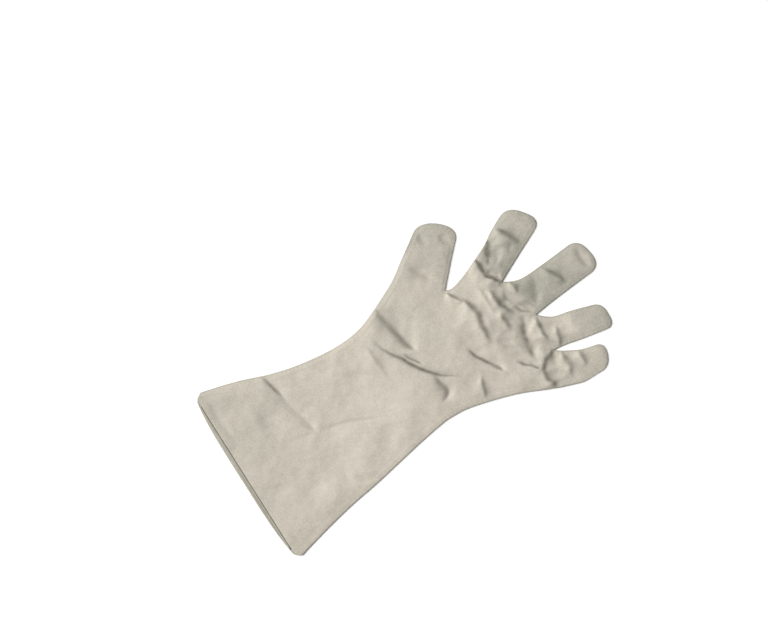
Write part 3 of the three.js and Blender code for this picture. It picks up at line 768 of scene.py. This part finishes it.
# The palm of the glove
# The same cloth and outline as the back, lying flat on the surface and lifted a little where it is sewn to
# the back's sheet. At the cuff's mouth it looks out past the back as a narrow lip.
PALM_CELL = 2.5
PALM_CELLS_PER_FINGER = 14
PALM_ROLL = 9          # from the seam inwards, where the palm sheet comes down flat
PALM_WAVE = 0.15       # height of its shallow waves
PALM_LIP = 5           # how far it looks out past the back at mid-mouth
LIP_CURL = 0.25        # how far the lip's edge is curled up
LIP_CURL_REACH = 4.5   # and from how far inside it that starts
MOUTH_X = -194         # the cuff's mouth, then the middle and half of its width
MOUTH_MIDDLE, MOUTH_HALF = -11, 92


def palm_height(places, path):
    """The palm sheet's underside: flat on the surface, lifted by one swell towards the seam, held just off
    the surface by shallow waves, and curled up along the mouth's lip, whose edge bows out by 1 - v^4."""
    distance = seam_distance(places, path)[0]
    lift = SEAM_LIFT * (1 - swell(distance, PALM_ROLL))
    waves = np.maximum(0, ripples(places, 8, 60, 25, 80, PALM_WAVE)) * swell(distance, PALM_ROLL)
    across = np.clip((places[:, 1] - MOUTH_MIDDLE) / MOUTH_HALF, -1, 1)
    rim = MOUTH_X - PALM_LIP * (1 - across**4)
    curl = LIP_CURL * (1 - across**4) * (1 - smooth((places[:, 0] - rim) / LIP_CURL_REACH))
    return lift + waves + curl


palm_grids, palm_path = hand_grids(PALM_CELLS_PER_FINGER, PALM_CELL, PALM_LIP)
palm_places, palm_faces = joined(palm_grids)
palm_low = palm_height(palm_places, palm_path)
palm_marks = {"soil": np.zeros(len(palm_places)), "tarnish": tarnish(palm_places)}
palm_points = with_turned_edge(palm_places, palm_low, palm_faces, palm_marks, palm_grids[0][0], 1, 0)
palm_sheet = sheet_object("palm_sheet", *palm_points[:2], palm_points[2][:, ::-1], CLOTH, palm_points[3])
palm_sheet.data.materials.append(cloth)
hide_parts("palm_panel")
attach(palm_sheet, "root")


# The hems of the cuff's mouth
# At the mouth the edge of each sheet is turned in and lies against the sheet's inner side, with nothing but
# the seam at the two corners to hold it. The palm's hem is the pale strip that shows in the mouth.
HEM_START = 0.1        # from the mouth's edge, where the turned edge ends and the hem's band begins
HEM_SHARE = 0.12       # share of the width, at each side, that the band stays clear of the seam
BACK_HEM_CELLS = (120, 10)  # cells across and in depth
PALM_HEM_CELLS = (60, 24)
HEM_DARK = 0.9         # how far from the back's edge the painted shadow of the gap under it reaches on the hem
LIP_SHADE_OUT = 3.4        # how far outside the back's edge a line of painted shade runs along the palm's hem
LIP_SHADE_WIDE = 0.5       # and how far to each side of it that shade goes
LIP_SHADE_AT = 0.68        # its middle, as a share of the mouth's width from the thumb's side
LIP_SHADE_REACH = 0.2      # its half length, as another such share
LIP_SHADE_DEPTH = 0.5       # and how dark that painted shade is

HEM_TONE = (0.43, 0.408, 0.34, 1)
# the near-black tone of the painted shadow in the mouth's gap and of the lip's line of painted shade
HEM_SHADE = (0.03, 0.026, 0.02, 1)
hem_cloth = cloth_material("hem_cloth", HEM_TONE, GREY_TONE, HEM_SHADE, tarnish_and_shade_amount=0.5, shade_amount=1.0)


def hem_band(cells, rows, lip):
    """The places of a hem's band: rows of the gauntlet from just inside the mouth to the hem's depth,
    without the columns next to the seam. It bows out by lip times 1 - v^4, with v from -1 to 1 across."""
    share = np.linspace(HEM_SHARE / 2, 1 - HEM_SHARE / 2, cells + 1)
    depth = np.linspace(HEM_START, MOUTH_DEPTH, rows + 1)
    first = GAUNTLET[0, :2] * (1 - share)[:, None] + GAUNTLET[0, 2:] * share[:, None]
    second = GAUNTLET[1, :2] * (1 - share)[:, None] + GAUNTLET[1, 2:] * share[:, None]
    first[:, 0] -= lip * (1 - (2 * share - 1) ** 4)
    way = second - first
    way /= np.linalg.norm(way, axis=1)[:, None]
    return first[None] + depth[:, None, None] * way[None]


def hem_object(name, grid, heights, up):
    """A hem's band as a sheet whose shown side faces the hollow. It has painted shadow under the back's
    edge, for the dark gap, by exp(-(d/HEM_DARK)^4) at the distance d from there, and the palm's has a
    fainter line of painted shade further out on its lip, by exp(-(l/LIP_SHADE_REACH)^4) along it and
    exp(-(w/LIP_SHADE_WIDE)^2) across."""
    places, faces = joined([grid])
    values = heights(places)
    faces = faces if up else faces[:, ::-1]
    share = (places[:, 1] - GAUNTLET[0, 1]) / (GAUNTLET[0, 3] - GAUNTLET[0, 1])
    out = GAUNTLET[0, 0] * (1 - share) + GAUNTLET[0, 2] * share - places[:, 0]
    # Painted shadow of the gap under the back's edge.
    soil = np.exp(-(((out - EDGE_RADIUS) / HEM_DARK) ** 4))
    if up:
        # A fainter line of painted shade further out on the palm's lip.
        painted_lip_line = LIP_SHADE_DEPTH * np.exp(-(((share - LIP_SHADE_AT) / LIP_SHADE_REACH) ** 4))
        painted_lip_line *= np.exp(-(((out - LIP_SHADE_OUT) / LIP_SHADE_WIDE) ** 2))
        soil = np.maximum(soil, painted_lip_line)
    marks = {"soil": soil, "tarnish": np.zeros(len(places))}
    made = sheet_object(name, places, values, faces, CLOTH, marks)
    made.data.materials.append(hem_cloth)
    return made


back_hem = hem_object("back_hem_band", hem_band(*BACK_HEM_CELLS, 0),
                      lambda p: back_height(p, seam_path)[0] - 2 * EDGE_RADIUS, False)
palm_hem = hem_object("palm_hem_band", hem_band(*PALM_HEM_CELLS, PALM_LIP),
                      lambda p: palm_height(p, palm_path) + 2 * EDGE_RADIUS, True)
for band, node in ((back_hem, "back_hem"), (palm_hem, "palm_hem")):
    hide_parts(node)
    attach(band, "root")


# The seam's thread
# The two sheets are sewn inside out and turned, so that of each stitch only a short bar of grey polyester
# thread shows, where it crosses from sheet to sheet in the groove of the seam.
STITCH_PITCH = 2.8
THREAD_RADIUS = 0.16
STITCH_INSET = 0.12    # how far inside the outline the bar lies
STITCH_SLANT = 0.5     # how far it runs along the seam as it crosses
STITCH_SHORT = 0.15    # how far short of each sheet's outer side it ends
STITCH_SIDES = 6
SEAM_LOOK = 0.6        # how far before and after a stitch the seam's way is taken
PLY_SCALE = 2600       # of the twisted plies' bands
PLY_RELIEF = 0.03
PLY_DARK, PLY_LIGHT = (0.30, 0.28, 0.24, 1), (0.48, 0.45, 0.39, 1)

lengths = np.append(0, np.cumsum(np.linalg.norm(np.diff(seam_path, axis=0), axis=1)))
stitch_at = np.arange(STITCH_PITCH * 2, lengths[-1] - STITCH_PITCH * 2, STITCH_PITCH)
stitch_x = np.interp(stitch_at, lengths, seam_path[:, 0])
stitch_y = np.interp(stitch_at, lengths, seam_path[:, 1])
ahead = np.stack([np.interp(stitch_at + SEAM_LOOK, lengths, seam_path[:, k])
                  - np.interp(stitch_at - SEAM_LOOK, lengths, seam_path[:, k]) for k in (0, 1)], axis=1)
ahead /= np.linalg.norm(ahead, axis=1)[:, None]
outward = np.stack([-ahead[:, 1], ahead[:, 0]], axis=1)


def stitch_bars():
    """All the bars in one mesh. Each is rings of points round an axis that crosses the groove from the
    palm's sheet to the back's, slanting along the seam, thinner at both ends."""
    rings = np.array([-1, -0.8, 0, 0.8, 1])
    girth = np.array([0.35, 0.9, 1, 0.9, 0.35]) * THREAD_RADIUS
    angle = np.arange(STITCH_SIDES) * 2 * np.pi / STITCH_SIDES
    half_height = (2 * CLOTH + LAYER_GAP) / 2 - STITCH_SHORT
    middle_z = SEAM_LIFT + (2 * CLOTH + LAYER_GAP) / 2
    count = len(stitch_at)
    centre = np.column_stack([stitch_x, stitch_y]) - STITCH_INSET * outward
    axis_xy = ahead[:, None] * (rings * STITCH_SLANT)[None, :, None]
    round_out = (girth[:, None] * np.cos(angle))[None, ..., None] * outward[:, None, None]
    round_on = (girth[:, None] * np.sin(angle))[None, ..., None] * ahead[:, None, None]
    xy = centre[:, None, None] + axis_xy[:, :, None] + round_out + round_on
    z = np.broadcast_to((middle_z + rings * half_height)[None, :, None], xy.shape[:3])
    points = np.concatenate([xy, z[..., None]], axis=-1).reshape(-1, 3)
    number = np.arange(len(rings) * STITCH_SIDES).reshape(len(rings), STITCH_SIDES)
    nxt = np.roll(number, -1, axis=1)
    sides = np.stack([number[:-1], nxt[:-1], nxt[1:], number[1:]], axis=-1).reshape(-1, 4)
    first = (np.arange(count) * number.size)[:, None, None]
    faces = (sides[None] + first).reshape(-1, 4).tolist()
    caps = [(number[0, ::-1] + f).tolist() for f in first.ravel()]
    caps += [(number[-1] + f).tolist() for f in first.ravel()]
    return points, faces + caps


thread_points, thread_faces = stitch_bars()
thread_mesh = bpy.data.meshes.new("seam_thread")
thread_mesh.from_pydata(thread_points * MM, [], thread_faces)
thread_mesh.update()
thread_mesh.shade_smooth()
seam_thread = placed("seam_thread", thread_mesh)

thread, tree, surface = plain_material("grey_thread")
surface.inputs["Specular IOR Level"].default_value = 0.4
places = tree.nodes.new("ShaderNodeTexCoord")
wave = tree.nodes.new("ShaderNodeTexWave")
wave.wave_type = "BANDS"
wave.bands_direction = "DIAGONAL"
wave.inputs["Scale"].default_value = PLY_SCALE
tree.links.new(places.outputs["Object"], wave.inputs["Vector"])
ply = blended(tree, wave.outputs["Fac"], PLY_DARK, PLY_LIGHT)
tree.links.new(ply, surface.inputs["Base Color"])
tree.links.new(spread(tree, wave.outputs["Fac"], 0, 1, 0.7, 0.5), surface.inputs["Roughness"])
twist = tree.nodes.new("ShaderNodeBump")
twist.inputs["Distance"].default_value = PLY_RELIEF * MM
tree.links.new(wave.outputs["Fac"], twist.inputs["Height"])
tree.links.new(twist.outputs["Normal"], surface.inputs["Normal"])
thread_mesh.materials.append(thread)
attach(seam_thread, "root")


# The floor, the lights and the camera
# A plain white table lit softly from the upper left of the picture, seen from almost straight above.
FLOOR_DROP = 0.0001    # metres below the glove, so that the two never share a surface
FLOOR_HALF = 30.0      # metres from its middle to its side
floor_mesh = bpy.data.meshes.new("floor")
sides = [(-1, -1), (1, -1), (1, 1), (-1, 1)]
floor_corners = [(FLOOR_HALF * x, FLOOR_HALF * y, -FLOOR_DROP) for x, y in sides]
floor_mesh.from_pydata(floor_corners, [], [(0, 1, 2, 3)])
floor = placed("floor", floor_mesh)
table, tree, surface = plain_material("white_table")
surface.inputs["Base Color"].default_value = (0.96, 0.96, 0.955, 1)
surface.inputs["Roughness"].default_value = 0.8
surface.inputs["Specular IOR Level"].default_value = 0.1
floor_mesh.materials.append(table)

AZIMUTH, ELEVATION = math.radians(-32), math.radians(87)
PICTURE_RIGHT = Vector((math.cos(AZIMUTH), math.sin(AZIMUTH), 0))
CAMERA_BACK = Vector((math.sin(AZIMUTH) * math.cos(ELEVATION), -math.cos(AZIMUTH) * math.cos(ELEVATION),
                      math.sin(ELEVATION)))
PICTURE_UP = CAMERA_BACK.cross(PICTURE_RIGHT)
PICTURE_WIDTH = 0.7334  # metres of the table that the picture's width takes in
LENS, SENSOR = 70, 36
MIDDLE = Vector((0.0022, 0.0558, 0.006))  # what the picture's middle shows

camera = placed("camera", bpy.data.cameras.new("camera"))
camera.data.lens = LENS
camera.data.sensor_width = SENSOR
camera.data.clip_start = 0.01
away = PICTURE_WIDTH * LENS / SENSOR
turned = Matrix((PICTURE_RIGHT, PICTURE_UP, CAMERA_BACK)).transposed().to_4x4()
camera.matrix_world = Matrix.Translation(MIDDLE + CAMERA_BACK * away) @ turned
bpy.context.scene.camera = camera

KEY_ROUND, KEY_RISE = math.radians(162), math.radians(42)  # from the picture's right, and above the table
KEY_STRENGTH = 3.8
KEY_SOFTNESS = math.radians(58)
KEY_AWAY = 2           # metres
SKY_STRENGTH = 0.34
FLAT_UP = Vector((-PICTURE_RIGHT.y, PICTURE_RIGHT.x, 0))
towards_key = (PICTURE_RIGHT * math.cos(KEY_ROUND) + FLAT_UP * math.sin(KEY_ROUND)) * math.cos(KEY_RISE)
towards_key += Vector((0, 0, math.sin(KEY_RISE)))
key = placed("key", bpy.data.lights.new("key", "SUN"))
key.data.energy = KEY_STRENGTH
key.data.angle = KEY_SOFTNESS
key.data.color = (1.0, 0.99, 0.975)
facing_down = towards_key.to_track_quat("Z", "Y").to_matrix().to_4x4()
key.matrix_world = Matrix.Translation(towards_key * KEY_AWAY) @ facing_down

world = bpy.data.worlds.new("studio")
world.use_nodes = True
sky = world.node_tree.nodes["Background"]
sky.inputs["Color"].default_value = (1, 1, 1, 1)
sky.inputs["Strength"].default_value = SKY_STRENGTH
bpy.context.scene.world = world
bpy.context.scene.view_settings.view_transform = "Standard"
